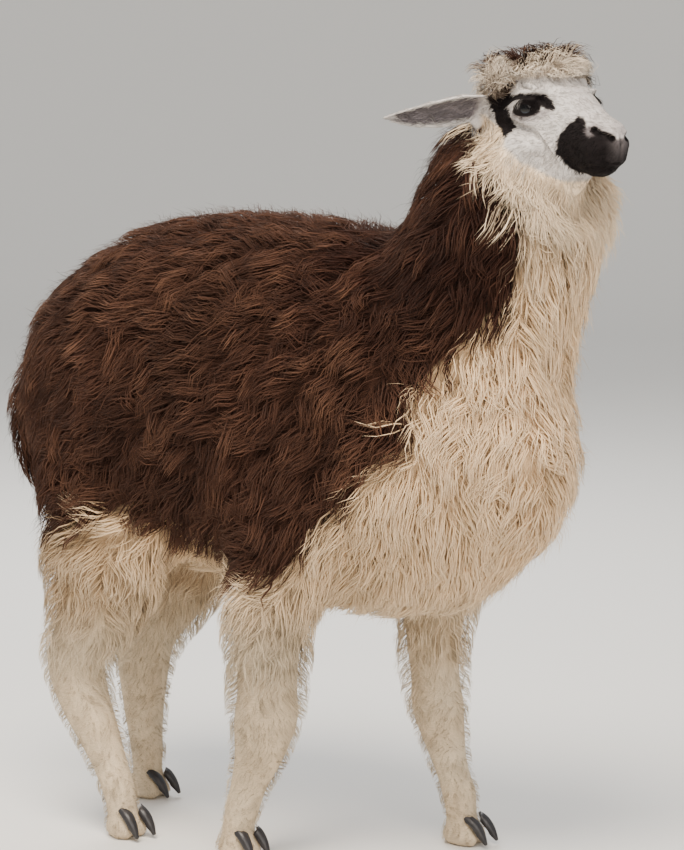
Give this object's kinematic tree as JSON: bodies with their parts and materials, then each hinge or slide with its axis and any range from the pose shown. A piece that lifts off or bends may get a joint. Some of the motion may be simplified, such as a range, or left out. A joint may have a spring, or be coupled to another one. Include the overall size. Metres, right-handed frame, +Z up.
{
  "type": "alpaca",
  "caption": "Life-size still alpaca in a walking stance, head turned a little to its right, with a long shaggy fleece, topknot, long ears and two-toed feet.",
  "frame": {"origin": "on the floor, under the middle of the box round the whole animal", "axes": "+X the way the body faces, +Y the animal's left, +Z up"},
  "size_m": [1.1882, 0.4936, 1.267],
  "materials": {
    "brown_fleece": "dull, shaggy wool",
    "cream_fleece": "dull, shaggy wool",
    "face_fur": "short flat hair",
    "ear_fur": "short flat hair",
    "eye": "wet gloss",
    "toenail": "smooth horn"
  },
  "bodies": {
    "root": {"head": "face_fur", "ear_left": "ear_fur", "ear_right": "ear_fur", "eye_left": "eye", "eye_right": "eye", "neck": "brown_fleece", "trunk": "brown_fleece", "tail": "brown_fleece", "front_right_upper_leg": "cream_fleece", "front_right_lower_leg": "cream_fleece", "front_right_foot": "cream_fleece", "front_left_upper_leg": "cream_fleece", "front_left_lower_leg": "cream_fleece", "front_left_foot": "cream_fleece", "hind_right_upper_leg": "cream_fleece", "hind_right_lower_leg": "cream_fleece", "hind_right_foot": "cream_fleece", "hind_left_upper_leg": "cream_fleece", "hind_left_lower_leg": "cream_fleece", "hind_left_foot": "cream_fleece", "front_right_toenail_left": "toenail", "front_right_toenail_right": "toenail", "front_left_toenail_left": "toenail", "front_left_toenail_right": "toenail", "hind_right_toenail_left": "toenail", "hind_right_toenail_right": "toenail", "hind_left_toenail_left": "toenail", "hind_left_toenail_right": "toenail"}
  },
  "joints": []
}
